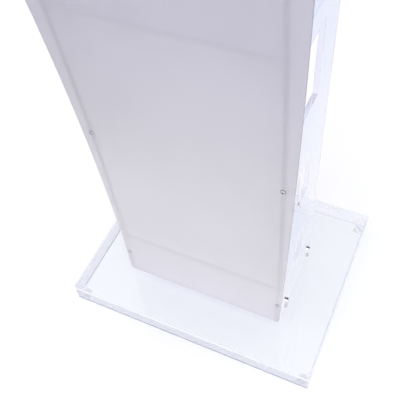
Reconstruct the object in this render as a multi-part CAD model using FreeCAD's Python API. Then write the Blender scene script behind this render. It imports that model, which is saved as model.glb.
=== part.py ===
"""Free-standing acrylic brochure rack.

Frame: millimetres, +Z up, origin on the floor at the centre of the base.
The frosted panel faces -Y (front), the open side with the shelves faces +Y (rear).
Left is -X, right is +X. Every piece is written as its own STEP file in parts/.
"""
import FreeCAD, Part
import math
import os

V = FreeCAD.Vector
X, Y, Z = V(1, 0, 0), V(0, 1, 0), V(0, 0, 1)
os.makedirs("parts", exist_ok=True)

# ---------------------------------------------------------------- shared sizes
SIDES = ((-1, "left"), (1, "right"))   # sign of x, name
GAP = 0.25             # glue line or clearance between neighbouring clear pieces
EDGE = 0.8             # edge break on the base and the main shelf and deck lips
FINE_EDGE = 0.5        # edge break on the other clear pieces
THREAD_GAP = 0.06      # around a shank in its thread, and under a screw head
OVERLAP = 0.01         # a shank runs this far into its head before they are fused
OVERCUT = 1.0          # cutting tools stick out this far beyond the material

# base
BASE_W = 600.0         # X
BASE_D = 466.0         # Y
BASE_H = 55.5          # top face above the floor
BASE_TOP_T = 15.0
BASE_WALL_T = 4.0
BASE_CORNER_R = 3.0
PAD_LEG = 30.0         # triangular corner pads
PAD_H = 8.0
FOOT_H = 2.5           # underside of walls and pads above the floor
FOOT_TOP_GAP = 0.1
FOOT_R = 10.0
FOOT_CHAMFER = 0.6
FOOT_INSET = 18.0      # bumper centre from the base's outer faces
HALF_W = BASE_W / 2
HALF_D = BASE_D / 2
TOP_PLATE_Z = BASE_H - BASE_TOP_T
INNER_HALF_W = HALF_W - BASE_WALL_T - GAP
INNER_HALF_D = HALF_D - BASE_WALL_T - GAP

# uprights
PLATE_T = 10.0
PLATE_X = 187.0        # upright centre from the middle
PLATE_REAR_Y = 83.0    # open-side edge
PLATE_Z0 = BASE_H + GAP
PLATE_INNER_X = PLATE_X - PLATE_T / 2
BETWEEN_X = PLATE_INNER_X - GAP     # half width of what fits between the uprights
WINDOW_REAR_Y = 6.0
# z low, z high, y of the front edge at z low, at z high
WINDOWS = ((162.0, 257.0, -43.0, -43.0),
           (398.0, 505.0, -57.0, -57.0),
           (648.0, 800.0, -84.0, -88.0))

# frosted panel, an arc seen from the side
PANEL_T = 5.0
PANEL_GAP = 0.3        # below and behind the panel
PANEL_Z0 = BASE_H + PANEL_GAP
PANEL_Z1 = 1120.0
PANEL_CORNER_R = 10.0  # rounded top corners
PANEL_EDGE = 0.4
PANEL_R = 6300.0       # radius of the front face
PANEL_ARC_Z = 252.3    # height of the arc's rearmost point
PANEL_ARC_Y = -127.5 - PANEL_R      # arc centre, far out in front of the rack
PANEL_FLOOR_HALF_W = 189.95         # half width extrapolated to z = 0
PANEL_WIDENING = 0.030134           # half width gained per millimetre of height
BEHIND_PANEL = PANEL_T + PANEL_GAP  # offset of the pieces behind the panel
SHORT_OF_PANEL = BEHIND_PANEL + 6.0  # offset at which the fins and cleats stop

# M5 panel screws and their threaded inserts
SCREW_Z = (131.0, 550.0, 969.0)
SCREW_X = 186.5
SCREW_R = 2.5
SCREW_HOLE_R = SCREW_R + 0.3
SCREW_HEAD_R = 4.75
SCREW_HEAD_H = 2.75
SCREW_SOCKET_R = 1.7       # across the corners, as are all socket radii
SCREW_SOCKET_FLOOR = 1.1   # socket floor above the seat
INSERT_R = 3.4
INSERT_L = 12.0
SCREW_L = PANEL_T + INSERT_L - 1.5
INSERT_DEPTH = PANEL_T + 0.45      # insert's near end behind the panel's front face
INSERT_HOLE_R = INSERT_R + 0.1
INSERT_HOLE_START = PANEL_T - 1.5  # behind the panel's front face
INSERT_HOLE_L = INSERT_L + 3.0
GROOVE_STARTS = (3.5, 7.5)         # along the insert
GROOVE_W = 1.0
GROOVE_DEPTH = 0.35

# M6 bolts that come up through the base into cross dowels in the uprights
BOLT_Y = (-78.0, 72.0)
BOLT_R = 3.0
BOLT_HOLE_R = BOLT_R + 0.3
BOLT_HOLE_TOP = 8.0        # above the dowel's axis
BOLT_HEAD_R = 5.0
BOLT_HEAD_H = 6.0
BOLT_CHAMFER = 0.5
BOLT_SOCKET_R = 2.9
BOLT_SOCKET_DEPTH = 3.0
BOLT_PAST_DOWEL = 2.0
WASHER_R = 9.0
WASHER_T = 1.6
WASHER_HOLE_R = BOLT_R + 0.25
WASHER_Z0 = TOP_PLATE_Z - 0.1 - WASHER_T
BOLT_HEAD_TOP = WASHER_Z0 - 0.05
BOLT_HEAD_Z0 = BOLT_HEAD_TOP - BOLT_HEAD_H
DOWEL_Z = 75.0
DOWEL_R = 5.0
DOWEL_L = 19.0
DOWEL_HOLE_R = DOWEL_R + 0.15
DOWEL_CHAMFER = 0.5
SLOT_DEPTH = 0.8           # slot in the dowel's outer end
SLOT_HALF_L = 3.2          # Y
SLOT_HALF_W = 0.5          # Z

# shelves
SHELF_T = 10.0
BOTTOM_SHELF_Z = 194.0     # underside
MAIN_SHELF_Z = 838.5       # underside
SHELF_REAR_Y = 78.0
SHELF_LIP_H = 45.0
SHELF_LIP_T = 8.0

# sloping brochure deck, high towards the panel
DECK_ANGLE = math.radians(18.0)
DECK_COS, DECK_SIN = math.cos(DECK_ANGLE), math.sin(DECK_ANGLE)
DECK_T = 8.0
DECK_HALF_W = 212.0
DECK_LOW_Y = 104.0         # low end of the deck's top face
DECK_LOW_Z = 1005.0
DECK_LIP_TOP = 42.0        # above the deck's top face
DECK_LIP_T = 8.0
FIN_T = 8.0
FIN_TOP = 26.0             # above the deck's top face
FIN_NOSE_R = 14.0
FIN_NOSE_STEPS = 6
DIVIDER_X = 66.0
FENCE_X = 200.0
UNDER_DECK = -(DECK_T + GAP)   # top of uprights and cleats, from the deck's top face

# square cleats under the deck, with M4 screws into the uprights
CLEAT = 16.0
CLEAT_START = 32.0         # along the slope
CLEAT_X = BETWEEN_X - CLEAT    # face towards the middle
DECK_SCREW_SLOPES = (70.0, 200.0)   # places along the slope
DECK_SCREW_R = 2.0
DECK_SCREW_L = CLEAT + 6.5
DECK_SCREW_HEAD_R = 3.8
DECK_SCREW_HEAD_H = 2.2
DECK_SCREW_CHAMFER = 0.6
DECK_SOCKET_R = 1.35
DECK_SOCKET_DEPTH = 1.2
CLEAT_HOLE_R = DECK_SCREW_R + 0.25
DECK_INSERT_X = PLATE_INNER_X + 0.2
DECK_INSERT_R = 2.9
DECK_INSERT_L = 7.5
DECK_INSERT_HOLE_R = 3.0
DECK_INSERT_HOLE_L = 8.2


# ---------------------------------------------------------------- helpers
def box(x_span, y_span, z_span):
    (x0, x1), (y0, y1), (z0, z1) = map(sorted, (x_span, y_span, z_span))
    return Part.makeBox(x1 - x0, y1 - y0, z1 - z0, V(x0, y0, z0))


def polygon_face(points):
    return Part.Face(Part.makePolygon(points + [points[0]]))


def prism_yz(points, x0, x1):
    """Closed outline of (y, z) points, extruded from x0 to x1."""
    return polygon_face([V(x0, y, z) for y, z in points]).extrude(X * (x1 - x0))


def hex_socket(face_centre, outward, corner, radius, depth):
    """Cutter for a socket in a head's face, one corner lying along 'corner'."""
    centre = face_centre + outward * OVERCUT
    across = outward.cross(corner)
    points = []
    for k in range(6):
        angle = math.pi / 3 * k
        points.append(centre + corner * (radius * math.cos(angle))
                      + across * (radius * math.sin(angle)))
    return polygon_face(points).extrude(outward * -(OVERCUT + depth))


def straight(edge):
    return edge.Curve.TypeId == "Part::GeomLine"


def along(edge, axis):
    return abs(edge.tangentAt(edge.FirstParameter).dot(axis)) > 0.99


def in_x_plane(edge):
    return edge.BoundBox.XLength < 0.01


def dress(shape, operation, size, edges):
    """Fillet or chamfer the edges of a shape, where that gives sound solids."""
    # Guards against the kernel refusing the edges: the shape then keeps them sharp.
    try:
        dressed = operation(size, edges)
        if dressed.isValid() and len(dressed.Solids) == len(shape.Solids):
            return dressed
    except Exception:
        pass
    return shape


def break_edges(shape, size, pick=lambda e: True):
    return dress(shape, shape.makeChamfer, size, [e for e in shape.Edges if pick(e)])


def fillet_vertical(shape, pick=lambda e: True):
    edges = [e for e in shape.Edges if along(e, Z) and pick(e)]
    return shape.makeFillet(BASE_CORNER_R, edges)


def arc_y(z, offset=0.0):
    """y at height z, 'offset' behind the panel's front face."""
    return PANEL_ARC_Y + math.sqrt((PANEL_R + offset) ** 2 - (z - PANEL_ARC_Z) ** 2)


def arc_point(x, z, offset=0.0):
    return V(x, arc_y(z, offset), z)


def arc_edge(x, z0, z1, offset=0.0):
    return Part.Arc(arc_point(x, z0, offset), arc_point(x, (z0 + z1) / 2, offset),
                    arc_point(x, z1, offset)).toShape()


def deck_point(slope, height):
    """(y, z) 'slope' along the deck from its low end, 'height' above its top face."""
    return (DECK_LOW_Y - slope * DECK_COS + height * DECK_SIN,
            DECK_LOW_Z + slope * DECK_SIN + height * DECK_COS)


def slope_to_panel(height, offset):
    """Slope distance at which a line parallel to the deck meets the offset arc."""
    low, high = 100.0, 400.0
    for _ in range(60):
        middle = (low + high) / 2
        y, z = deck_point(middle, height)
        if y > arc_y(z, offset):
            low = middle
        else:
            high = middle
    return low


def deck_slab(start, bottom_end, top_end, bottom, top, x0, x1):
    """Slab parallel to the deck, its high end cut at two slope distances."""
    return prism_yz([deck_point(start, bottom), deck_point(bottom_end, bottom),
                     deck_point(top_end, top), deck_point(start, top)], x0, x1)


def write(name, *shapes):
    solids = [solid for shape in shapes for solid in shape.Solids]
    if not all(solid.isValid() for solid in solids):
        raise RuntimeError(name + " is not valid")
    piece = solids[0] if len(solids) == 1 else Part.makeCompound(solids)
    piece.exportStep("parts/" + name + ".step")


# ---------------------------------------------------------------- base
def base_top_plate():
    plate = box((-HALF_W, HALF_W), (-HALF_D, HALF_D), (TOP_PLATE_Z, BASE_H))
    plate = fillet_vertical(plate)
    plate = break_edges(plate, EDGE, lambda e: e.BoundBox.ZMin > BASE_H - 0.01)
    for side, _ in SIDES:
        for y in BOLT_Y:
            plate = plate.cut(Part.makeCylinder(
                BOLT_HOLE_R, BASE_TOP_T + 2 * OVERCUT,
                V(side * PLATE_X, y, TOP_PLATE_Z - OVERCUT), Z))
    return plate


def base_wall(x_span, y_span):
    return box(x_span, y_span, (FOOT_H, TOP_PLATE_Z - GAP))


def break_bottom(wall):
    return break_edges(wall, EDGE, lambda e: e.BoundBox.ZMax < FOOT_H + 0.01)


def long_wall(side):
    """Front (-1) or rear (1) wall, with its outer corners rounded."""
    wall = base_wall((-HALF_W, HALF_W), (side * HALF_D, side * (HALF_D - BASE_WALL_T)))
    wall = fillet_vertical(wall, lambda e: side * e.BoundBox.Center.y > HALF_D - 0.1)
    return break_bottom(wall)


def side_wall(side):
    return break_bottom(base_wall((side * HALF_W, side * (HALF_W - BASE_WALL_T)),
                                  (-INNER_HALF_D, INNER_HALF_D)))


def corner_pad(side_x, side_y):
    x, y = side_x * INNER_HALF_W, side_y * INNER_HALF_D
    corner = V(x, y, FOOT_H)
    return polygon_face([corner, V(x - side_x * PAD_LEG, y, FOOT_H),
                         V(x, y - side_y * PAD_LEG, FOOT_H)]).extrude(Z * PAD_H)


def rubber_foot(side_x, side_y):
    centre = V(side_x * (HALF_W - FOOT_INSET), side_y * (HALF_D - FOOT_INSET), 0)
    foot = Part.makeCylinder(FOOT_R, FOOT_H - FOOT_TOP_GAP, centre, Z)
    return foot.makeChamfer(FOOT_CHAMFER, [e for e in foot.Edges if e.BoundBox.ZMax < 0.01])


write("base_top_plate", base_top_plate())
write("base_front_wall", long_wall(-1))
write("base_rear_wall", long_wall(1))
for side, hand in SIDES:
    write(f"base_{hand}_wall", side_wall(side))
corners = [(side_x, side_y) for side_x in (-1, 1) for side_y in (-1, 1)]
write("base_corner_pads", *[corner_pad(*corner) for corner in corners])
write("rubber_feet", *[rubber_foot(*corner) for corner in corners])


# ---------------------------------------------------------------- frosted panel
def panel_seat(side, z):
    """Screw's place on the panel's front face, and the unit normal out of it."""
    normal = V(0, PANEL_ARC_Y - arc_y(z), PANEL_ARC_Z - z)
    normal.normalize()
    return arc_point(side * SCREW_X, z), normal


def frosted_panel(seats):
    # curved sheet, wider than the panel
    sheet_x = -300.0
    z0, z1 = PANEL_Z0, PANEL_Z1
    profile = Part.Wire([
        arc_edge(sheet_x, z0, z1),
        Part.makeLine(arc_point(sheet_x, z1), arc_point(sheet_x, z1, PANEL_T)),
        arc_edge(sheet_x, z0, z1, PANEL_T),
        Part.makeLine(arc_point(sheet_x, z0, PANEL_T), arc_point(sheet_x, z0))])
    sheet = Part.Face(profile).extrude(X * (-2 * sheet_x))

    # trimmed to a trapezium seen from the front; the trimming block overshoots
    low, high = z0 - 50, z1 + 50
    low_w = PANEL_FLOOR_HALF_W + PANEL_WIDENING * low
    high_w = PANEL_FLOOR_HALF_W + PANEL_WIDENING * high
    block_y = -400
    block = polygon_face([V(-low_w, block_y, low), V(low_w, block_y, low),
                          V(high_w, block_y, high), V(-high_w, block_y, high)])
    panel = sheet.common(block.extrude(Y * 700)).Solids[0]

    # rounded top corners, then a small edge break all round
    top_corners = [e for e in panel.Edges if straight(e)
                   and e.BoundBox.ZMin > z1 - 5 and e.BoundBox.XLength < 1.0]
    panel = dress(panel, panel.makeFillet, PANEL_CORNER_R, top_corners).Solids[0]
    panel = break_edges(panel, PANEL_EDGE).Solids[0]
    for seat, normal in seats:
        panel = panel.cut(Part.makeCylinder(SCREW_HOLE_R, PANEL_T + 2 * OVERCUT,
                                            seat + normal * OVERCUT, normal * -1))
    return panel


def panel_screw(seat, normal):
    """Domed button head with a hexagonal socket, and a plain shank."""
    under_head = seat + normal * THREAD_GAP
    dome_r = (SCREW_HEAD_R ** 2 + SCREW_HEAD_H ** 2) / (2 * SCREW_HEAD_H)
    dome = Part.makeSphere(dome_r, seat + normal * (THREAD_GAP + SCREW_HEAD_H - dome_r))
    head = Part.makeCylinder(SCREW_HEAD_R, SCREW_HEAD_H + 1, under_head, normal).common(dome)
    shank = Part.makeCylinder(SCREW_R, SCREW_L, under_head, normal * -1)
    screw = head.fuse(shank).removeSplitter()
    return screw.cut(hex_socket(seat + normal * SCREW_HEAD_H, normal, X, SCREW_SOCKET_R,
                                SCREW_HEAD_H - SCREW_SOCKET_FLOOR)).Solids[0]


def panel_insert(seat, normal):
    """Threaded sleeve with two grooves round it."""
    inward = normal * -1
    start = seat + inward * INSERT_DEPTH
    insert = Part.makeCylinder(INSERT_R, INSERT_L, start, inward)
    insert = insert.cut(Part.makeCylinder(SCREW_R + THREAD_GAP, INSERT_L + 2 * OVERCUT,
                                          start + normal * OVERCUT, inward))
    for distance in GROOVE_STARTS:
        place = start + inward * distance
        ring = Part.makeCylinder(INSERT_R + OVERCUT, GROOVE_W, place, inward)
        ring = ring.cut(Part.makeCylinder(INSERT_R - GROOVE_DEPTH, GROOVE_W, place, inward))
        insert = insert.cut(ring)
    return insert.Solids[0]


panel_seats = [panel_seat(side, z) for z in SCREW_Z for side, _ in SIDES]
write("frosted_front_panel", frosted_panel(panel_seats))
write("panel_screws", *[panel_screw(*seat) for seat in panel_seats])
write("panel_screw_inserts", *[panel_insert(*seat) for seat in panel_seats])


# ---------------------------------------------------------------- uprights
def upright(side):
    x0 = side * PLATE_X - PLATE_T / 2
    x1 = x0 + PLATE_T

    # outline: curved front edge, top edge parallel to the deck just under it
    _, front_z = deck_point(slope_to_panel(UNDER_DECK, BEHIND_PANEL), UNDER_DECK)
    low_y, low_z = deck_point(0, UNDER_DECK)
    rear_z = low_z + (low_y - PLATE_REAR_Y) * math.tan(DECK_ANGLE)
    front_low = arc_point(x0, PLATE_Z0, BEHIND_PANEL)
    front_high = arc_point(x0, front_z, BEHIND_PANEL)
    rear_high = V(x0, PLATE_REAR_Y, rear_z)
    rear_low = V(x0, PLATE_REAR_Y, PLATE_Z0)
    outline = Part.Wire([arc_edge(x0, PLATE_Z0, front_z, BEHIND_PANEL),
                         Part.makeLine(front_high, rear_high),
                         Part.makeLine(rear_high, rear_low),
                         Part.makeLine(rear_low, front_low)])
    plate = Part.Face(outline).extrude(X * PLATE_T)
    for z_low, z_high, y_low, y_high in WINDOWS:
        plate = plate.cut(prism_yz([(y_low, z_low), (WINDOW_REAR_Y, z_low),
                                    (WINDOW_REAR_Y, z_high), (y_high, z_high)],
                                   x0 - OVERCUT, x1 + OVERCUT))
    plate = break_edges(plate.Solids[0], FINE_EDGE, in_x_plane)

    # bolt holes up from the bottom edge and the cross dowel holes
    for y in BOLT_Y:
        plate = plate.cut(Part.makeCylinder(
            BOLT_HOLE_R, DOWEL_Z + BOLT_HOLE_TOP - PLATE_Z0 + OVERCUT,
            V(side * PLATE_X, y, PLATE_Z0 - OVERCUT), Z))
        plate = plate.cut(Part.makeCylinder(DOWEL_HOLE_R, PLATE_T + 2 * OVERCUT,
                                            V(x0 - OVERCUT, y, DOWEL_Z), X))
    # blind holes for the panel inserts
    for z in SCREW_Z:
        seat, normal = panel_seat(side, z)
        plate = plate.cut(Part.makeCylinder(INSERT_HOLE_R, INSERT_HOLE_L,
                                            seat - normal * INSERT_HOLE_START, normal * -1))
    # blind holes for the deck screw inserts
    for slope in DECK_SCREW_SLOPES:
        start = deck_screw_point(side, slope, PLATE_INNER_X - OVERCUT)
        plate = plate.cut(Part.makeCylinder(DECK_INSERT_HOLE_R, DECK_INSERT_HOLE_L + OVERCUT,
                                            start, X * side))
    return plate.Solids[0]


# ---------------------------------------------------------------- foot bolts
def foot_washer(x, y):
    washer = Part.makeCylinder(WASHER_R, WASHER_T, V(x, y, WASHER_Z0), Z)
    return washer.cut(Part.makeCylinder(WASHER_HOLE_R, WASHER_T + 2 * OVERCUT,
                                        V(x, y, WASHER_Z0 - OVERCUT), Z))


def foot_bolt(x, y):
    head_bottom = V(x, y, BOLT_HEAD_Z0)
    head = Part.makeCylinder(BOLT_HEAD_R, BOLT_HEAD_H, head_bottom, Z)
    head = head.makeChamfer(BOLT_CHAMFER, [e for e in head.Edges
                                           if e.BoundBox.ZMax < BOLT_HEAD_Z0 + 0.01])
    shank = Part.makeCylinder(BOLT_R, DOWEL_Z + DOWEL_R + BOLT_PAST_DOWEL - BOLT_HEAD_TOP,
                              V(x, y, BOLT_HEAD_TOP - OVERLAP), Z)
    bolt = head.fuse(shank).removeSplitter()
    return bolt.cut(hex_socket(head_bottom, Z * -1, X, BOLT_SOCKET_R,
                               BOLT_SOCKET_DEPTH)).Solids[0]


def foot_dowel(x, y):
    dowel = Part.makeCylinder(DOWEL_R, DOWEL_L, V(x - DOWEL_L / 2, y, DOWEL_Z), X)
    dowel = dowel.makeChamfer(DOWEL_CHAMFER, [e for e in dowel.Edges if not straight(e)])
    dowel = dowel.cut(Part.makeCylinder(BOLT_R + THREAD_GAP, 2 * (DOWEL_R + OVERCUT),
                                        V(x, y, DOWEL_Z - DOWEL_R - OVERCUT), Z))
    end_x = x + math.copysign(DOWEL_L / 2, x)
    return dowel.cut(box((end_x - SLOT_DEPTH, end_x + SLOT_DEPTH),
                         (y - SLOT_HALF_L, y + SLOT_HALF_L),
                         (DOWEL_Z - SLOT_HALF_W, DOWEL_Z + SLOT_HALF_W))).Solids[0]


bolt_places = [(side * PLATE_X, y) for side, _ in SIDES for y in BOLT_Y]
write("foot_bolts", *[foot_bolt(*place) for place in bolt_places])
write("foot_washers", *[foot_washer(*place) for place in bolt_places])
write("foot_cross_dowels", *[foot_dowel(*place) for place in bolt_places])


# ---------------------------------------------------------------- shelves
def shelf(z0):
    z1 = z0 + SHELF_T
    board = prism_yz([(arc_y(z0, BEHIND_PANEL), z0), (SHELF_REAR_Y, z0),
                      (SHELF_REAR_Y, z1), (arc_y(z1, BEHIND_PANEL), z1)],
                     -BETWEEN_X, BETWEEN_X)
    return break_edges(board, FINE_EDGE, lambda e: along(e, X))


def main_shelf_lip():
    z0 = MAIN_SHELF_Z + SHELF_T + GAP
    lip = box((-BETWEEN_X, BETWEEN_X), (SHELF_REAR_Y - SHELF_LIP_T, SHELF_REAR_Y),
              (z0, z0 + SHELF_LIP_H))
    return break_edges(lip, EDGE, lambda e: along(e, X))


write("bottom_shelf", shelf(BOTTOM_SHELF_Z))
write("main_shelf", shelf(MAIN_SHELF_Z))
write("main_shelf_lip", main_shelf_lip())


# ---------------------------------------------------------------- brochure deck
def brochure_deck():
    deck = deck_slab(0.0, slope_to_panel(-DECK_T, BEHIND_PANEL),
                     slope_to_panel(0.0, BEHIND_PANEL),
                     -DECK_T, 0.0, -DECK_HALF_W, DECK_HALF_W)
    return break_edges(deck, FINE_EDGE)


def deck_lip():
    lip = deck_slab(0.0, DECK_LIP_T, DECK_LIP_T, GAP, DECK_LIP_TOP,
                    -DECK_HALF_W, DECK_HALF_W)
    return break_edges(lip, EDGE)


def deck_fin(x):
    """Upright strip running up the deck, with a faceted round nose at the high end."""
    start = DECK_LIP_T + GAP
    end = slope_to_panel(GAP, SHORT_OF_PANEL)
    points = [deck_point(start, GAP), deck_point(end, GAP)]
    for k in range(FIN_NOSE_STEPS + 1):
        angle = math.pi / 2 * k / FIN_NOSE_STEPS
        points.append(deck_point(end - FIN_NOSE_R + FIN_NOSE_R * math.cos(angle),
                                 FIN_TOP - FIN_NOSE_R + FIN_NOSE_R * math.sin(angle)))
    points.append(deck_point(start, FIN_TOP))
    return break_edges(prism_yz(points, x - FIN_T / 2, x + FIN_T / 2), FINE_EDGE, in_x_plane)


def deck_screw_point(side, slope, x):
    """Point on a deck screw's axis, x out from the middle."""
    return V(side * x, *deck_point(slope, UNDER_DECK - CLEAT / 2))


def deck_cleat(side):
    end = slope_to_panel(UNDER_DECK - CLEAT, SHORT_OF_PANEL)
    cleat = deck_slab(CLEAT_START, end, end, UNDER_DECK - CLEAT, UNDER_DECK,
                      *sorted((side * CLEAT_X, side * BETWEEN_X)))
    cleat = break_edges(cleat, FINE_EDGE)
    for slope in DECK_SCREW_SLOPES:
        cleat = cleat.cut(Part.makeCylinder(
            CLEAT_HOLE_R, CLEAT + 2 * OVERCUT,
            deck_screw_point(side, slope, CLEAT_X - OVERCUT), X * side))
    return cleat.Solids[0]


def deck_screw(side, slope):
    """Screw running outwards through the cleat into the upright."""
    outward = X * side
    under_head_x = CLEAT_X - THREAD_GAP
    face = deck_screw_point(side, slope, under_head_x - DECK_SCREW_HEAD_H)
    head = Part.makeCylinder(DECK_SCREW_HEAD_R, DECK_SCREW_HEAD_H, face, outward)
    head = head.makeChamfer(DECK_SCREW_CHAMFER,
                            [e for e in head.Edges if not straight(e)
                             and abs(e.BoundBox.XMin - face.x) < 0.01])
    shank = Part.makeCylinder(DECK_SCREW_R, DECK_SCREW_L,
                              deck_screw_point(side, slope, under_head_x - OVERLAP), outward)
    screw = head.fuse(shank).removeSplitter()
    return screw.cut(hex_socket(face, outward * -1, Y, DECK_SOCKET_R,
                                DECK_SOCKET_DEPTH)).Solids[0]


def deck_insert(side, slope):
    insert = Part.makeCylinder(DECK_INSERT_R, DECK_INSERT_L,
                               deck_screw_point(side, slope, DECK_INSERT_X), X * side)
    return insert.cut(Part.makeCylinder(
        DECK_SCREW_R + THREAD_GAP, DECK_INSERT_L + 2 * OVERCUT,
        deck_screw_point(side, slope, DECK_INSERT_X - OVERCUT), X * side)).Solids[0]


write("brochure_deck", brochure_deck())
write("deck_lip", deck_lip())
write("deck_dividers", deck_fin(-DIVIDER_X), deck_fin(DIVIDER_X))
for side, hand in SIDES:
    write(f"{hand}_deck_fence", deck_fin(side * FENCE_X))
    write(f"{hand}_side_plate", upright(side))
    write(f"{hand}_deck_cleat", deck_cleat(side))
deck_screw_places = [(side, slope) for side, _ in SIDES for slope in DECK_SCREW_SLOPES]
write("deck_screws", *[deck_screw(*place) for place in deck_screw_places])
write("deck_screw_inserts", *[deck_insert(*place) for place in deck_screw_places])
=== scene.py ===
import math

import bmesh
import bpy
from mathutils import Matrix, Vector

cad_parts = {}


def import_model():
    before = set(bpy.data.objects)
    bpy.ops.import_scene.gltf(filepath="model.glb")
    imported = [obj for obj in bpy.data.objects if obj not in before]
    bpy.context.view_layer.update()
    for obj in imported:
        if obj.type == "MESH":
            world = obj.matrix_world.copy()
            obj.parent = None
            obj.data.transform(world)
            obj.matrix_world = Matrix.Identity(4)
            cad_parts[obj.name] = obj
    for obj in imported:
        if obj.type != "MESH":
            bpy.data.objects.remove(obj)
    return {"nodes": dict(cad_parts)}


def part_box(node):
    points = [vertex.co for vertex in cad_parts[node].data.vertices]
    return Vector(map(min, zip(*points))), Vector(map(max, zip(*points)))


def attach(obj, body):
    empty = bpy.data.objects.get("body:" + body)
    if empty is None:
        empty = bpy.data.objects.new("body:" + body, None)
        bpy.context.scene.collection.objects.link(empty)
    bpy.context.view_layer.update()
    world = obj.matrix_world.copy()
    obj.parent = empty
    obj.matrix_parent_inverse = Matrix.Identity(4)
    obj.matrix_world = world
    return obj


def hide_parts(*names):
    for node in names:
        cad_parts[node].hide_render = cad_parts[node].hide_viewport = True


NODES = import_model()["nodes"]
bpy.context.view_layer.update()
scene = bpy.context.scene


# ------------------------------------------------------------------ node helpers
class Mat:
    """A material and short ways to add nodes to its tree."""

    def __init__(self, name):
        self.mat = bpy.data.materials.new(name)
        self.mat.use_nodes = True
        self.tree = self.mat.node_tree
        self.tree.nodes.clear()
        self.output = self.tree.nodes.new("ShaderNodeOutputMaterial")

    def put(self, node, key, value):
        """Link or set an input; colours are given as red, green, blue."""
        socket = node.inputs[key]
        if isinstance(value, bpy.types.NodeSocket):
            self.tree.links.new(value, socket)
        elif socket.type == "RGBA":
            socket.default_value = (*value, 1.0)
        else:
            socket.default_value = value

    def node(self, kind, **settings):
        """Add a node; capitalised settings are inputs (Base_Color), the rest attributes."""
        node = self.tree.nodes.new("ShaderNode" + kind)
        for key, value in settings.items():
            if key[0].isupper():
                self.put(node, key.replace("_", " "), value)
            else:
                setattr(node, key, value)
        return node

    def first(self, kind, **settings):
        """Add a node and return its first output."""
        return self.node(kind, **settings).outputs[0]

    def math(self, operation, *operands):
        node = self.node("Math", operation=operation)
        for i, operand in enumerate(operands):
            self.put(node, i, operand)
        return node.outputs[0]

    def times(self, a, b):
        return self.math("MULTIPLY", a, b)

    def dot(self, a, b):
        node = self.node("VectorMath", operation="DOT_PRODUCT")
        self.put(node, 0, a)
        self.put(node, 1, b)
        return node.outputs["Value"]

    def ramp(self, value, span, to=(0.0, 1.0), smooth=True):
        """Map the range 'span' of a value onto the range 'to'."""
        return self.first("MapRange", interpolation_type="SMOOTHSTEP" if smooth else "LINEAR",
                          Value=value, From_Min=span[0], From_Max=span[1],
                          To_Min=to[0], To_Max=to[1])

    def noise(self, co, scale, detail=3.0, rough=0.5, twist=0.0):
        return self.node("TexNoise", Vector=co, Scale=scale, Detail=detail,
                         Roughness=rough, Distortion=twist).outputs["Fac"]

    def mix_colour(self, factor, a, b, mode="MIX"):
        node = self.node("Mix", data_type="RGBA", blend_type=mode)
        for key, value in ((0, factor), (6, a), (7, b)):
            self.put(node, key, value)
        return node.outputs[2]

    def filtered(self, a, b):
        return self.mix_colour(1.0, a, b, mode="MULTIPLY")

    def mix_shader(self, factor, a, b):
        node = self.node("MixShader")
        for key, value in enumerate((factor, a, b)):
            self.put(node, key, value)
        return node.outputs[0]

    def bump(self, height, strength, distance, **normal):
        return self.first("Bump", Strength=strength, Distance=distance, Height=height, **normal)

    def scaled(self, co, scale):
        return self.first("Mapping", Vector=co, Scale=scale)

    def split(self, vector):
        return self.node("SeparateXYZ", Vector=vector).outputs

    def geometry(self, output):
        return self.node("NewGeometry").outputs[output]

    def surface(self, shader):
        self.tree.links.new(shader, self.output.inputs["Surface"])

    def volume(self, shader):
        self.tree.links.new(shader, self.output.inputs["Volume"])


# ------------------------------------------------------------------ clear acrylic
ABSORB = (0.55, 0.50, 0.14)      # absorption per metre of sheet: red, green, blue
ABSORB_DENSITY = 6.0             # volume density that the absorption is spread over
ACRYLIC_IOR = 1.49
COS_45 = 0.7071                  # |normal . sheet normal| on a 45 degree edge break
CLEAR_THROUGH = (0.975, 0.98, 0.995)
BREAK_THROUGH = (0.885, 0.893, 0.918)
CONTACT_SHADE_MAX_Y = -0.105              # only edges in front of this get the painted contact shade


def painted_contact_shade(m, shader, co, normal, saw_marks, amount):
    """Painted shade: the edge that sits against the back of the frosted panel is made matt and a
    little darker, a dark line seen through the panel.
    """
    factor = m.times(m.ramp(m.dot(normal, (0, -1, 0)), span=(0.80, 0.9)), amount)
    factor = m.times(factor, m.ramp(saw_marks, span=(0.0, 1.0), to=(0.85, 1.0)))
    factor = m.times(factor, m.math("LESS_THAN", m.split(co)["Y"], CONTACT_SHADE_MAX_Y))
    matt = m.first("BsdfPrincipled", Base_Color=(0.36, 0.34, 0.47), Roughness=0.7)
    return m.mix_shader(factor, shader, matt)


def painted_foot_shade(m, shader, co, soft, depth, amount, top, max_depth):
    """Painted shade: the cut bottom edge reads as a thin broken navy line."""
    height = m.split(co)["Z"]
    patches = m.noise(m.scaled(co, (40.0, 40.0, 5.0)), scale=1.0)
    broken = m.ramp(patches, span=(0.25, 0.5), to=(0.75, 1.0))
    factor = m.times(m.ramp(height, span=(top, top + 0.001), to=(amount, 0.0)), broken)
    factor = m.times(factor, m.math("SUBTRACT", 1.0, soft))
    factor = m.times(factor, m.math("LESS_THAN", depth, max_depth))
    navy = m.first("BsdfPrincipled", Base_Color=(0.10, 0.10, 0.21), Roughness=0.35)
    return m.mix_shader(factor, shader, navy)


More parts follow.
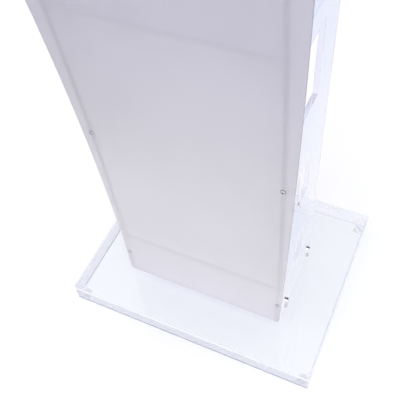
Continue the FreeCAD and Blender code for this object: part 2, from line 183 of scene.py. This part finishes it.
def clear_acrylic(name, normal, strength=1.0, saw_bump=0.08, tint=(0.905, 0.922, 0.978),
                  low_tint=None, cut_colour=(0.968, 0.97, 0.99), low_cut=None, cut_rough=0.09,
                  see_through=0.0, soft_break=0.0, glow=(0.86, 0.87, 0.955), piped_after=11.5,
                  contact_shade=0.0, foot_shade=0.0, line_depth=0.5, line_top=0.0044):
    """Clear sheet whose big faces have this normal.

    strength: absorption; saw_bump: saw marks on cut edges; low_*: colours near the floor, from
    which painted shade darkens the sheet higher up; see_through: share of diffuse rays let
    through; soft_break: fade of the edge breaks;
    piped_after: ray depth past which the sheet shows only a painted emission; the two edge layers
    are painted
    shade: a dark line where an edge meets the frosted panel and a thin navy line along the bottom
    edge.
    """
    m = Mat(name)
    co = m.geometry("Position")
    true_normal = m.geometry("True Normal")
    facing = m.math("ABSOLUTE", m.dot(true_normal, normal))
    cut = m.ramp(facing, span=(0.35, 0.8), to=(1.0, 0.0))      # 1 on a cut edge, 0 on a face

    # slow waviness of a cast sheet, fine handling scratches, hazy smudges
    wave = m.noise(co, scale=3.0, detail=1.0)
    fine = m.noise(m.scaled(co, (220.0, 140.0, 180.0)), scale=1.0, detail=4.0, rough=0.65)
    smudge = m.ramp(m.noise(co, scale=9.0, detail=4.0, rough=0.6, twist=0.6), span=(0.52, 0.78))
    streak = m.noise(m.scaled(co, (900.0, 30.0, 60.0)), scale=1.0, detail=2.0)
    saw_marks = m.node("TexWave", wave_type="BANDS", bands_direction="Z", Vector=co,
                       Scale=260.0, Distortion=1.4, Detail=2.0).outputs["Fac"]
    relief = m.math("ADD", m.times(wave, 1.0), m.times(fine, 0.012))
    bumped = m.bump(relief, strength=0.10, distance=0.0015)
    bumped = m.bump(saw_marks, strength=m.times(cut, saw_bump), distance=0.0002, Normal=bumped)
    rough = m.math("ADD", m.times(smudge, 0.02),
                   m.times(m.ramp(streak, span=(0.60, 0.75)), 0.012))
    rough = m.math("ADD", rough, m.times(cut, cut_rough))

    # painted shade: the sheet and its cut edges darken and turn bluer from the colours near the
    # floor to the colours higher up
    if low_tint:
        blend = m.ramp(m.split(co)["Z"], span=(0.15, 0.75), smooth=False)
        tint = m.mix_colour(blend, low_tint, tint)
    if low_cut:
        blend = m.ramp(m.split(co)["Z"], span=(0.45, 0.70), smooth=False)
        cut_colour = m.mix_colour(blend, low_cut, cut_colour)
    glass = m.first("BsdfPrincipled", Base_Color=m.mix_colour(cut, tint, cut_colour),
                    Roughness=rough, IOR=ACRYLIC_IOR, Transmission_Weight=1.0, Normal=bumped)

    # light on its way to a matt surface goes straight through, so shade stays soft and pale
    path = m.node("LightPath").outputs
    soft = m.math("MAXIMUM", path["Is Shadow Ray"],
                  m.times(path["Is Diffuse Ray"], see_through))
    through_colour = CLEAR_THROUGH
    if soft_break:
        # the narrow edge breaks are flame polished and all but vanish
        off_45 = m.math("ABSOLUTE", m.math("SUBTRACT", facing, COS_45))
        near_45 = (0.03, 0.09)
        soft = m.math("MAXIMUM", soft, m.ramp(off_45, span=near_45, to=(soft_break, 0.0)))
        through_colour = m.mix_colour(m.ramp(off_45, span=near_45, to=(1.0, 0.0)),
                                      CLEAR_THROUGH, BREAK_THROUGH)
    shader = m.mix_shader(soft, glass, m.first("BsdfTransparent", Color=through_colour))

    # painted light: past piped_after bounces the sheet just emits a pale colour, standing in for
    # the light piped along inside it to its polished edges
    piped = m.math("GREATER_THAN", path["Ray Depth"], piped_after)
    shader = m.mix_shader(piped, shader, m.first("Emission", Color=glow, Strength=1.0))
    if contact_shade:
        shader = painted_contact_shade(m, shader, co, true_normal, saw_marks, contact_shade)
    if foot_shade:
        shader = painted_foot_shade(m, shader, co, soft, path["Ray Depth"], foot_shade, line_top,
                           line_depth)
    m.surface(shader)
    m.volume(m.first("VolumeAbsorption", Color=[1 - a / ABSORB_DENSITY for a in ABSORB],
                     Density=ABSORB_DENSITY * strength))
    return m.mat


# ------------------------------------------------------------------ other materials
# painted shade: height in metres, colour of the panel there, darker towards the top
PAINTED_PANEL_SHADE = (
    (0.08, (1.0, 1.0, 1.0)), (0.19, (0.985, 0.985, 0.97)), (0.25, (0.945, 0.945, 0.93)),
    (0.45, (0.885, 0.885, 0.88)), (0.65, (0.84, 0.84, 0.85)), (0.95, (0.81, 0.805, 0.85)),
)


def frosted_acrylic(name):
    m = Mat(name)
    co = m.geometry("Position")
    grain = m.noise(m.scaled(co, (1500.0, 1500.0, 1500.0)), scale=1.0, detail=2.0)
    cloud = m.noise(co, scale=4.5, rough=0.55)
    smear = m.noise(m.scaled(co, (5.0, 5.0, 14.0)), scale=1.0, detail=4.0, rough=0.6, twist=0.8)
    smear = m.ramp(smear, span=(0.55, 0.8))
    base = m.mix_colour(m.ramp(cloud, span=(0.3, 0.7)),
                        (0.66, 0.645, 0.695), (0.685, 0.67, 0.718))

    place = m.split(co)
    height_shade = m.node("ValToRGB", Fac=place["Z"])
    stops = height_shade.color_ramp.elements
    stops[0].position = PAINTED_PANEL_SHADE[0][0]
    stops[1].position = PAINTED_PANEL_SHADE[-1][0]
    for height, _ in PAINTED_PANEL_SHADE[1:-1]:
        stops.new(height)
    for stop, (_, colour) in zip(stops, PAINTED_PANEL_SHADE):
        stop.color = (*colour, 1.0)

    # painted shade: the upper part is also darker towards -X
    side = m.ramp(place["X"], span=(-0.22, 0.06), to=(0.955, 1.0))
    upper = m.ramp(place["Z"], span=(0.35, 0.7))
    side = m.math("ADD", 1.0, m.times(m.math("SUBTRACT", side, 1.0), upper))
    shade = m.filtered(height_shade.outputs[0], m.first("CombineXYZ", X=side, Y=side, Z=side))
    base = m.filtered(m.filtered(base, shade), (1.07, 1.07, 1.07))

    surface = m.first("BsdfPrincipled", Base_Color=base, IOR=ACRYLIC_IOR,
                      Roughness=m.math("SUBTRACT", 0.46, m.times(smear, 0.10)),
                      Specular_IOR_Level=0.45,
                      Normal=m.bump(grain, strength=0.10, distance=0.00015))
    scatter = m.first("BsdfTranslucent", Color=m.filtered(shade, (0.97, 0.96, 0.99)))
    blur = m.first("BsdfRefraction", Color=m.filtered(shade, (1.0, 0.99, 1.0)),
                   Roughness=0.12, IOR=ACRYLIC_IOR)
    refracted, transmitted = 0.45, 0.52      # shares of the two mixes
    m.surface(m.mix_shader(transmitted, surface, m.mix_shader(refracted, scatter, blur)))
    return m.mat


def metal(name, colour, rough, dull_below=None, painted_top_shade=None):
    m = Mat(name)
    co = m.geometry("Position")
    mottle = m.noise(co, scale=260.0, detail=4.0, rough=0.6)
    grain = m.noise(co, scale=1800.0, detail=2.0)
    dirty = tuple(c * 0.86 for c in colour)
    base = m.mix_colour(m.ramp(mottle, span=(0.35, 0.7)), colour, dirty)
    rough = m.math("ADD", rough, m.times(m.math("SUBTRACT", mottle, 0.5), 0.18))
    if dull_below:
        # the low screws turn a paler purple-grey and rougher
        low = m.ramp(m.split(co)["Z"], span=(dull_below, dull_below + 0.1), to=(1.0, 0.0))
        base = m.mix_colour(low, base, (0.56, 0.52, 0.62))
        rough = m.math("ADD", rough, m.times(low, 0.30))
    if painted_top_shade:
        # painted shade: the upper side of the barrel is dark, bright turned metal elsewhere
        upward = m.split(m.geometry("True Normal"))["Z"]
        base = m.mix_colour(m.ramp(upward, span=(0.72, 0.93)), base, painted_top_shade)
    m.surface(m.first("BsdfPrincipled", Base_Color=base, Metallic=1.0,
                      Roughness=m.math("MAXIMUM", rough, 0.05),
                      Normal=m.bump(grain, strength=0.12, distance=0.00008)))
    return m.mat


def rubber(name):
    """Clear polyurethane, a little yellowed and dusty."""
    m = Mat(name)
    co = m.geometry("Position")
    dust = m.noise(co, scale=120.0, detail=4.0, rough=0.6)
    base = m.mix_colour(m.ramp(dust, span=(0.35, 0.75)), (0.985, 0.98, 0.965), (0.95, 0.935, 0.91))
    body = m.first("BsdfPrincipled", Base_Color=base, Transmission_Weight=0.95, IOR=1.48,
                   Roughness=m.ramp(dust, span=(0.3, 0.7), to=(0.35, 0.6)),
                   Normal=m.bump(m.noise(co, scale=900.0), strength=0.25, distance=0.0002))
    path = m.node("LightPath").outputs
    soft = m.math("MAXIMUM", path["Is Shadow Ray"], path["Is Diffuse Ray"])
    through = m.first("BsdfTransparent", Color=(0.97, 0.965, 0.95))
    least_through = 0.82
    m.surface(m.mix_shader(m.math("MAXIMUM", soft, least_through), body, through))
    return m.mat


DECK_SLOPE = math.radians(18.0)
NORMALS = {"x": (1, 0, 0), "y": (0, 1, 0), "z": (0, 0, 1),
           "deck": (0, math.sin(DECK_SLOPE), math.cos(DECK_SLOPE)),
           "lip": (0, math.cos(DECK_SLOPE), -math.sin(DECK_SLOPE))}
clear = {key: clear_acrylic("clear_acrylic_" + key, normal) for key, normal in NORMALS.items()}
# painted shade on the uprights: a dark line on their front edges against the frosted panel, and a
# tint that darkens and blues higher up
upright = clear_acrylic("clear_acrylic_upright", NORMALS["x"], strength=0.5,
                        tint=(0.725, 0.770, 0.915), low_tint=(1.0, 1.0, 1.0), contact_shade=0.7,
                        glow=(0.90, 0.90, 0.965), cut_colour=(0.87, 0.87, 0.955),
                        low_cut=(0.962, 0.964, 0.985))
shelf = clear_acrylic("clear_acrylic_shelf", NORMALS["z"])
# painted shade: a dark line on the low shelf's front edge against the frosted panel
low_shelf = clear_acrylic("clear_acrylic_low_shelf", NORMALS["z"], contact_shade=0.36)

BASE = dict(see_through=1.0, strength=0.35, saw_bump=0.02, glow=(0.90, 0.91, 0.955),
            cut_rough=0.12, piped_after=6.5, soft_break=0.85, cut_colour=(0.955, 0.96, 0.98))
base_top = clear_acrylic("base_acrylic_top", NORMALS["z"], tint=(0.937, 0.945, 0.957), **BASE)
# side, normal, painted navy foot line, line_depth, line_top, tint
# painted shade: each wall gets its own tint of the same acrylic, darkest at the front, palest at
# the rear
BASE_WALLS = (
    ("front", "y", 0.64, 1.5, 0.0056, (0.750, 0.765, 0.810)),
    ("left", "x", 0.9, 3.5, 0.0042, (0.815, 0.825, 0.860)),
    ("rear", "y", 0.2, 3.5, 0.0036, (0.985, 0.975, 1.000)),
    ("right", "x", 0.2, 0.5, 0.0036, (0.930, 0.940, 0.955)),
)
base_wall = {
    side: clear_acrylic("base_acrylic_" + side, NORMALS[key], foot_shade=amount,
                        line_depth=depth, line_top=top, tint=tint, **BASE)
    for side, key, amount, depth, top, tint in BASE_WALLS}
frost = frosted_acrylic("frosted_acrylic")
steel = metal("screw_steel", colour=(0.43, 0.40, 0.46), rough=0.36, dull_below=0.20)
dowel = metal("dowel_steel", colour=(0.88, 0.87, 0.87), rough=0.22,
              painted_top_shade=(0.05, 0.048, 0.05))
bolt = metal("bolt_steel", colour=(0.80, 0.79, 0.80), rough=0.24)
brass = metal("insert_brass", colour=(0.70, 0.52, 0.26), rough=0.30)
bumper = rubber("bumper_rubber")

LOOK = {
    "base_top_plate": base_top, "base_corner_pads": base_top,
    "base_front_wall": base_wall["front"], "base_rear_wall": base_wall["rear"],
    "base_left_wall": base_wall["left"], "base_right_wall": base_wall["right"],
    "left_side_plate": upright, "right_side_plate": upright,
    "bottom_shelf": low_shelf, "main_shelf": shelf, "main_shelf_lip": clear["y"],
    "brochure_deck": clear["deck"], "deck_lip": clear["lip"], "deck_dividers": clear["x"],
    "left_deck_fence": clear["x"], "right_deck_fence": clear["x"],
    "left_deck_cleat": clear["x"], "right_deck_cleat": clear["x"],
    "frosted_front_panel": frost, "panel_screws": steel, "deck_screws": steel,
    "foot_bolts": bolt, "foot_washers": bolt, "foot_cross_dowels": dowel,
    "panel_screw_inserts": brass, "deck_screw_inserts": brass, "rubber_feet": bumper,
}
for name, obj in NODES.items():
    obj.data.materials.clear()
    obj.data.materials.append(LOOK[name])


# ------------------------------------------------------------------ reading the CAD pieces
MM = 0.001


def welded(node):
    bm = bmesh.new()
    bm.from_mesh(NODES[node].data)
    bmesh.ops.remove_doubles(bm, verts=bm.verts, dist=2e-6)
    return bm


def islands(node):
    """Points of each separate solid of a CAD node."""
    bm = welded(node)
    bm.verts.ensure_lookup_table()
    seen, solids = set(), []
    for start in bm.verts:
        if start.index in seen:
            continue
        stack, points = [start], []
        seen.add(start.index)
        while stack:
            vert = stack.pop()
            points.append(vert.co.copy())
            for edge in vert.link_edges:
                other = edge.other_vert(vert)
                if other.index not in seen:
                    seen.add(other.index)
                    stack.append(other)
        solids.append(points)
    bm.free()
    return solids


def extents(points, axis):
    """Centre line, low and high end, widest radius and (place, radius) list of a turned piece."""
    axis = axis.normalized()
    along = [p.dot(axis) for p in points]
    flat = [p - axis * p.dot(axis) for p in points]
    centre = Vector([(max(q[i] for q in flat) + min(q[i] for q in flat)) / 2 for i in range(3)])
    radii = [(q - centre).length for q in flat]
    return centre, min(along), max(along), max(radii), list(zip(along, radii))


def long_axis(points):
    """Main axis of the spread of the points, by power iteration."""
    centre = sum(points, Vector()) / len(points)
    spread = Matrix(((0,) * 3,) * 3)
    for point in points:
        offset = point - centre
        for i in range(3):
            for j in range(3):
                spread[i][j] += offset[i] * offset[j]
    axis = Vector((0.3, 1.0, 0.2))
    for _ in range(200):
        axis = (spread @ axis).normalized()
    return axis


# ------------------------------------------------------------------ building helpers
def add_object(name, data):
    obj = bpy.data.objects.new(name, data)
    scene.collection.objects.link(obj)
    return obj


def register(obj, node):
    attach(obj, "root")
    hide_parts(node)


def smooth(mesh):
    for polygon in mesh.polygons:
        polygon.use_smooth = True
    mesh.set_sharp_from_angle(angle=math.radians(38))


def ring_mesh(rings, segs, ends=None):
    """Skin (z, radius) rings; a radius may be a list. 'ends' are the z of the two end points;
    without them the last ring joins the first."""
    verts, faces = [], []
    for z, radius in rings:
        for i in range(segs):
            angle = 2 * math.pi * i / segs
            r = radius[i] if isinstance(radius, list) else radius
            verts.append((r * math.cos(angle), r * math.sin(angle), z))
    count = len(rings)
    for k in range(count - 1 if ends else count):
        k2 = (k + 1) % count
        for i in range(segs):
            j = (i + 1) % segs
            faces.append((k * segs + i, k * segs + j, k2 * segs + j, k2 * segs + i))
    if ends:
        verts += [(0, 0, z) for z in ends]
        low, high = count * segs, count * segs + 1
        for i in range(segs):
            j = (i + 1) % segs
            faces.append((low, j, i))
            faces.append((high, (count - 1) * segs + i, (count - 1) * segs + j))
    return verts, faces


def frame_at(origin, axis, turn):
    tilt = axis.to_track_quat("Z", "Y").to_matrix().to_4x4()
    return Matrix.Translation(origin) @ tilt @ Matrix.Rotation(turn, 4, "Z")


def assemble(name, node, parts, mat):
    """Join parts, given as (verts, faces, matrix) with verts in millimetres."""
    all_verts, all_faces = [], []
    for verts, faces, matrix in parts:
        offset = len(all_verts)
        all_verts += [matrix @ (Vector(v) * MM) for v in verts]
        all_faces += [tuple(i + offset for i in face) for face in faces]
    mesh = bpy.data.meshes.new(name)
    mesh.from_pydata(all_verts, [], all_faces)
    mesh.update()
    smooth(mesh)
    mesh.materials.append(mat)
    register(add_object(name, mesh), node)


# ------------------------------------------------------------------ screws (millimetres)
SCREW_SEGS = 48


def hexagon(apothem):
    angles = [math.degrees(2 * math.pi * i / SCREW_SEGS) % 60.0 - 30.0 for i in range(SCREW_SEGS)]
    return [apothem / math.cos(math.radians(angle)) for angle in angles]


def thread(start, end, radius, pitch, per_turn=6):
    """Rings of a real helix, faded out at both ends."""
    depth = pitch * 0.5
    count = max(2, int(round((end - start) / pitch * per_turn)))
    rings = []
    for k in range(count + 1):
        z = start + (end - start) * k / count
        fade = max(0.0, min(1.0, (z - start) / pitch, (end - z) / pitch))
        ring = []
        for i in range(SCREW_SEGS):
            phase = (z / pitch - i / SCREW_SEGS) % 1.0
            groove = min(1.0, max(0.0, abs(phase - 0.5) * 2 * 1.25 - 0.12))
            ring.append(radius - depth * (1 - fade) * 0.5 - depth * fade * groove)
        rings.append((z, ring))
    return rings


def button_head(height, radius, apothem):
    """(z, radius) rings of a domed head with a hex socket, and the z of the socket floor."""
    rim, mouth = 0.55, apothem * 1.28
    rings = [(0.02, radius - 0.25), (0.12, radius - 0.06), (0.30, radius - 0.01),
             (rim, radius - 0.03)]
    for i in range(1, 9):
        angle = math.radians(90.0 * i / 9)
        rings.append((rim + (height - 0.62) * math.sin(angle),
                      mouth + (radius - mouth) * math.cos(angle) ** 0.9))
    rings += [(height - 0.02, apothem * 1.22), (height - 0.06, hexagon(apothem * 1.03)),
              (height - 0.22, hexagon(apothem)), (height * 0.38, hexagon(apothem * 0.995)),
              (height * 0.36, hexagon(apothem * 0.9))]
    return rings, height * 0.22


def cap_head(height, radius, apothem):
    """The same for a knurled cylindrical head."""
    knurl = [radius - 0.02 - 0.16 * (0.5 + 0.5 * math.cos(i * math.pi))
             for i in range(SCREW_SEGS)]
    rings = [(0.02, radius - 0.5), (0.25, radius - 0.15), (0.6, knurl), (height * 0.8, knurl),
             (height - 0.35, radius - 0.12), (height - 0.05, radius - 0.55),
             (height - 0.02, apothem * 1.3), (height - 0.25, hexagon(apothem)),
             (height * 0.45, hexagon(apothem * 0.995)), (height * 0.43, hexagon(apothem * 0.9))]
    return rings, height * 0.3


def socket_screws(node, name, mat, radius, pitch, apothem, head=button_head):
    parts = []
    for k, points in enumerate(islands(node)):
        axis = long_axis(points)
        centre, low, high, widest, profile = extents(points, axis)
        middle = (low + high) / 2
        if max(r for z, r in profile if z < middle) > max(r for z, r in profile if z > middle):
            axis = -axis                                 # the head is at the high end
            centre, low, high, widest, profile = extents(points, axis)
        under = min(z for z, r in profile if r > widest * 0.9)
        length = (under - low) / MM
        rings = [(-length, radius * 0.72), (-length + 0.5, radius * 0.93)]
        rings += thread(-length + 0.6, -0.7, radius - 0.03, pitch)
        rings += [(-0.35, radius - 0.05), (-0.05, radius - 0.05), (0.02, radius + 0.15)]
        head_rings, socket_floor = head((high - under) / MM, widest / MM, apothem)
        verts, faces = ring_mesh(rings + head_rings, SCREW_SEGS, ends=(-length, socket_floor))
        turn = math.radians(17 + 41 * k)
        parts.append((verts, faces, frame_at(centre + axis * under, axis, turn)))
    assemble(name, node, parts, mat)


# ------------------------------------------------------------------ inserts and bumpers (mm)
def knurled_inserts(node, name, mat):
    """Sleeves with a diamond knurl and a plain groove round the middle."""
    segs, steps = 72, 30
    parts = []
    for k, points in enumerate(islands(node)):
        axis = long_axis(points)
        centre, low, high, widest, profile = extents(points, axis)
        bore = min(r for _, r in profile) / MM
        length, radius = (high - low) / MM, widest / MM
        rings = [(0.0, radius - 0.45), (0.3, radius - 0.16)]
        for i in range(steps + 1):
            z = 0.6 + (length - 1.2) * i / steps
            if abs(z - length / 2) < 0.55:
                cuts = [0.34] * segs
            else:
                cuts = [0.22 * (1 - abs(math.sin(j * math.pi / 3 + z * 2.2)
                                        * math.sin(j * math.pi / 3 - z * 2.2)))
                        for j in range(segs)]
            rings.append((z, [radius - 0.02 - cut for cut in cuts]))
        rings += [(length - 0.3, radius - 0.16), (length, radius - 0.45), (length, bore + 0.25),
                  (length - 0.3, bore + 0.02), (0.3, bore + 0.02), (0.0, bore + 0.25)]
        verts, faces = ring_mesh(rings, segs)
        parts.append((verts, faces, frame_at(centre + axis * low, axis, 0.3 * k)))
    assemble(name, node, parts, mat)


def bumpers(node, name, mat):
    """Round feet, rolled at the floor edge and dimpled underneath."""
    segs = 64
    axis = Vector((0, 0, 1))
    parts = []
    for points in islands(node):
        centre, low, high, widest, _ = extents(points, axis)
        height, radius = (high - low) / MM, widest / MM
        rings = [(0.10, radius * 0.30), (0.04, radius * 0.36), (0.0, radius * 0.44),
                 (0.0, radius * 0.80)]
        for i in range(1, 8):
            angle = math.radians(90.0 * i / 7)
            rings.append((height * 0.55 * (1 - math.cos(angle)),
                          radius * 0.80 + radius * 0.198 * math.sin(angle)))
        rings += [(height * 0.8, radius * 0.995), (height - 0.02, radius * 0.975),
                  (height, radius * 0.95)]
        verts, faces = ring_mesh(rings, segs, ends=(0.12, height))
        parts.append((verts, faces, Matrix.Translation(centre + axis * low)))
    assemble(name, node, parts, mat)


# ------------------------------------------------------------------ reworked CAD pieces (metres)
SLOT_SIZE = (0.0024, 0.0013, 0.03)       # along the dowel, width, across
SLOT_TURN = math.radians(35)
WELD = 0.00030          # closes the CAD's 0.25 mm glue line and reaches 0.05 mm further


def slot_cutter(node, name):
    """One box across the outer end of each dowel."""
    bm = bmesh.new()
    for points in islands(node):
        centre, low, high, _, _ = extents(points, Vector((1, 0, 0)))
        end = high if high > -low else low
        matrix = (Matrix.Translation(Vector((end, centre.y, centre.z)))
                  @ Matrix.Rotation(SLOT_TURN, 4, "X") @ Matrix.Diagonal((*SLOT_SIZE, 1.0)))
        bmesh.ops.create_cube(bm, size=1.0, matrix=matrix)
    mesh = bpy.data.meshes.new(name)
    bm.to_mesh(mesh)
    bm.free()
    return add_object(name, mesh)


def softened(node, name, mat, width, slotted=False):
    """Own copy of a turned CAD piece with rolled edges and, if slotted, a turning slot."""
    bm = welded(node)
    bmesh.ops.dissolve_limit(bm, angle_limit=math.radians(1.0), verts=bm.verts, edges=bm.edges)
    mesh = bpy.data.meshes.new(name)
    bm.to_mesh(mesh)
    bm.free()
    obj = add_object(name, mesh)
    if slotted:
        cutter = slot_cutter(node, name + "_cutter")
        boolean = obj.modifiers.new("slot", "BOOLEAN")
        boolean.operation = "DIFFERENCE"
        boolean.object = cutter
        boolean.solver = "EXACT"
    bevel = obj.modifiers.new("edge", "BEVEL")
    bevel.width = width
    bevel.segments = 3
    bevel.limit_method = "ANGLE"
    bevel.angle_limit = math.radians(40)
    depsgraph = bpy.context.evaluated_depsgraph_get()
    mesh = bpy.data.meshes.new_from_object(obj.evaluated_get(depsgraph))
    obj.modifiers.clear()
    obj.data = mesh
    if slotted:
        bpy.data.objects.remove(cutter)
    smooth(mesh)
    mesh.materials.clear()
    mesh.materials.append(mat)
    register(obj, node)


def welded_wall(side, glued):
    """Own copy of a base wall, its glued faces pushed out by WELD; glued: (axis, sign) list."""
    node = f"base_{side}_wall"
    bm = welded(node)
    low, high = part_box(node)
    for axis, sign in glued:
        limit = high[axis] if sign > 0 else low[axis]
        for vert in bm.verts:
            if abs(vert.co[axis] - limit) < 1e-5:
                vert.co[axis] += sign * WELD
    name = f"welded_{side}_wall"
    mesh = bpy.data.meshes.new(name)
    bm.to_mesh(mesh)
    bm.free()
    mesh.materials.append(base_wall[side])
    register(add_object(name, mesh), node)


TOP, BOTH_ENDS = [(2, 1)], [(1, 1), (1, -1)]
for side, glued in (("front", TOP), ("rear", TOP),
                    ("left", TOP + BOTH_ENDS), ("right", TOP + BOTH_ENDS)):
    welded_wall(side, glued)
socket_screws("panel_screws", "panel_button_screws", steel,
              radius=2.5, pitch=0.8, apothem=1.5)
socket_screws("deck_screws", "deck_button_screws", steel,
              radius=2.0, pitch=0.7, apothem=1.25)
socket_screws("foot_bolts", "foot_cap_bolts", bolt,
              radius=3.0, pitch=1.0, apothem=2.5, head=cap_head)
knurled_inserts("panel_screw_inserts", "panel_knurled_inserts", brass)
knurled_inserts("deck_screw_inserts", "deck_knurled_inserts", brass)
bumpers("rubber_feet", "domed_bumpers", bumper)
softened("foot_washers", "rolled_washers", bolt, width=0.00035)
softened("foot_cross_dowels", "slotted_cross_dowels", dowel, width=0.0004,
         slotted=True)


# ------------------------------------------------------------------ floor, world and lights
FLOOR_HALF, FLOOR_Z = 15.0, -0.0004


def pale_floor():
    m = Mat("floor_pale")
    cloud = m.noise(m.geometry("Position"), scale=1.2, detail=2.0)
    colour = m.mix_colour(cloud, (0.90, 0.90, 0.91), (0.915, 0.915, 0.92))
    m.surface(m.first("BsdfPrincipled", Base_Color=colour, Roughness=0.6,
                      Specular_IOR_Level=0.2))
    return m.mat


floor_mesh = bpy.data.meshes.new("floor")
floor_mesh.from_pydata([(x * FLOOR_HALF, y * FLOOR_HALF, FLOOR_Z)
                        for x, y in ((-1, -1), (1, -1), (1, 1), (-1, 1))], [], [(0, 1, 2, 3)])
floor = add_object("floor", floor_mesh)
floor_mesh.materials.append(pale_floor())

world = bpy.data.worlds.new("studio")
scene.world = world
world.use_nodes = True
tree = world.node_tree
tree.nodes.clear()
world_output = tree.nodes.new("ShaderNodeOutputWorld")
background = tree.nodes.new("ShaderNodeBackground")
background.inputs["Color"].default_value = (0.985, 0.985, 1.0, 1.0)
background.inputs["Strength"].default_value = 1.0
tree.links.new(background.outputs[0], world_output.inputs["Surface"])


def area_light(name, place, target, size, power):
    light = bpy.data.lights.new(name, "AREA")
    light.shape = "RECTANGLE"
    light.size, light.size_y = size
    light.energy = power
    obj = add_object(name, light)
    obj.location = place
    aim = Vector(target) - Vector(place)
    obj.rotation_euler = aim.to_track_quat("-Z", "Y").to_euler()


area_light("overhead", place=(0.3, -0.6, 3.4), target=(0, 0, 0.3), size=(2.4, 2.4), power=10.0)
area_light("low_front", place=(0.1, -1.7, 0.35), target=(0, -0.1, 0.15), size=(1.6, 0.5),
           power=9.0)

# ------------------------------------------------------------------ camera and render
CAMERA_PLACE = (0.3769, -0.7382, 1.3775)
AZIMUTH = math.radians(29.9704)          # from -Y towards +X
ELEVATION = math.radians(53.0450)
ROLL = math.radians(-6.6437)

camera_data = bpy.data.cameras.new("camera")
camera = add_object("camera", camera_data)
camera_data.sensor_width = 36.0
camera_data.lens = 56.0277
camera_data.shift_x = -0.00315
camera_data.shift_y = -0.001475
camera_data.clip_start = 0.02
camera_data.clip_end = 100.0
back = Vector((math.sin(AZIMUTH) * math.cos(ELEVATION), -math.cos(AZIMUTH) * math.cos(ELEVATION),
               math.sin(ELEVATION)))
right = (-back).cross(Vector((0, 0, 1))).normalized()
up = right.cross(-back)
rolled_right = right * math.cos(ROLL) + up * math.sin(ROLL)
rolled_up = -right * math.sin(ROLL) + up * math.cos(ROLL)
turned = Matrix((rolled_right, rolled_up, back)).transposed()
camera.matrix_world = Matrix.Translation(CAMERA_PLACE) @ turned.to_4x4()
scene.camera = camera

scene.view_settings.view_transform = "Standard"
scene.view_settings.look = "None"
scene.view_settings.exposure = 0.12
cycles = scene.cycles
cycles.max_bounces = 20
cycles.transmission_bounces = 20
cycles.transparent_max_bounces = 16
cycles.glossy_bounces = 20
cycles.diffuse_bounces = 5
cycles.caustics_reflective = True
cycles.caustics_refractive = True
cycles.blur_glossy = 0.3
cycles.sample_clamp_indirect = 8.0
cycles.use_denoising = True
